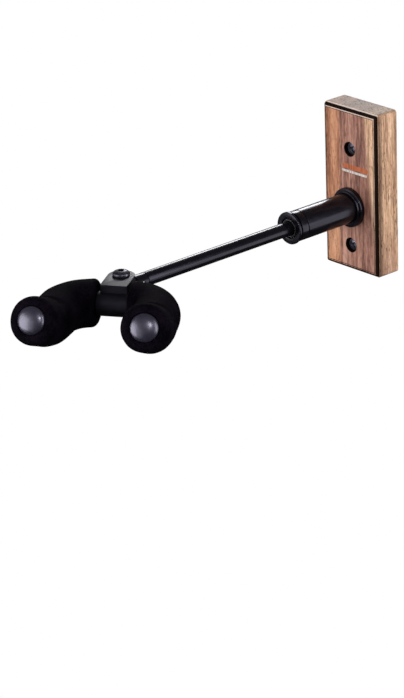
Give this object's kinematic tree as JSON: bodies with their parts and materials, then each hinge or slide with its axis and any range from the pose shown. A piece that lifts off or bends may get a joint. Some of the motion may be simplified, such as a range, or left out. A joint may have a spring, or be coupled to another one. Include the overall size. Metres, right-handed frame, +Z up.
{
  "type": "wall guitar hanger",
  "caption": "Wall guitar hanger: wooden wall plate, telescopic arm with a twist clutch, and a foam-covered U yoke that swivels on the arm's end to hold a guitar by its headstock.",
  "frame": {"origin": "middle of the wooden plate's back face, which lies on the wall", "axes": "+Z up; the arm points away from the wall along -Y; +X to the right for someone facing the wall"},
  "size_m": [0.1056, 0.3259, 0.111],
  "materials": {
    "walnut": "oiled, satin",
    "satin_black": "satin black coat",
    "black_screw": "black oxide",
    "plated_steel": "zinc plated",
    "black_nylon": "matte",
    "black_foam": "matte closed-cell foam",
    "cap_plastic": "semi-gloss"
  },
  "bodies": {
    "wall_mount": {"wall_plate": "walnut", "wall_screw_upper": "black_screw", "wall_screw_lower": "black_screw", "plate_washer": "plated_steel", "plate_nut": "plated_steel", "flange_ring": "satin_black", "sleeve_tube": "satin_black", "sleeve_plug": "plated_steel", "clutch_nose": "plated_steel", "clutch_collet": "black_nylon"},
    "collar": {"clutch_collar": "satin_black"},
    "arm": {"slide_rod": "satin_black", "rod_guide": "black_nylon", "guide_clip": "plated_steel", "rod_tongue": "satin_black", "tongue_pin": "plated_steel"},
    "yoke": {"yoke_knuckle": "satin_black", "yoke_bar": "satin_black", "bar_grub_screw": "black_screw", "pivot_bolt": "black_screw", "pivot_nut": "black_screw", "pivot_washer_upper": "black_nylon", "pivot_washer_lower": "black_nylon", "foam_left": "black_foam", "foam_right": "black_foam", "cap_left": "cap_plastic", "cap_right": "cap_plastic"}
  },
  "joints": [
    {"name": "collar_twist", "type": "hinge", "parent": "wall_mount", "child": "collar", "pos_m": [0, -0.0701, -0.0114], "axis": [0, -1, 0], "range_deg": [0, 90]},
    {"name": "arm_slide", "type": "slide", "parent": "wall_mount", "child": "arm", "axis": [0, -1, 0], "range_m": [-0.017, 0.005]},
    {"name": "yoke_swivel", "type": "hinge", "parent": "arm", "child": "yoke", "pos_m": [0, -0.216, -0.0114], "axis": [0, 0, 1], "range_deg": [-108.5, 41.5]}
  ]
}
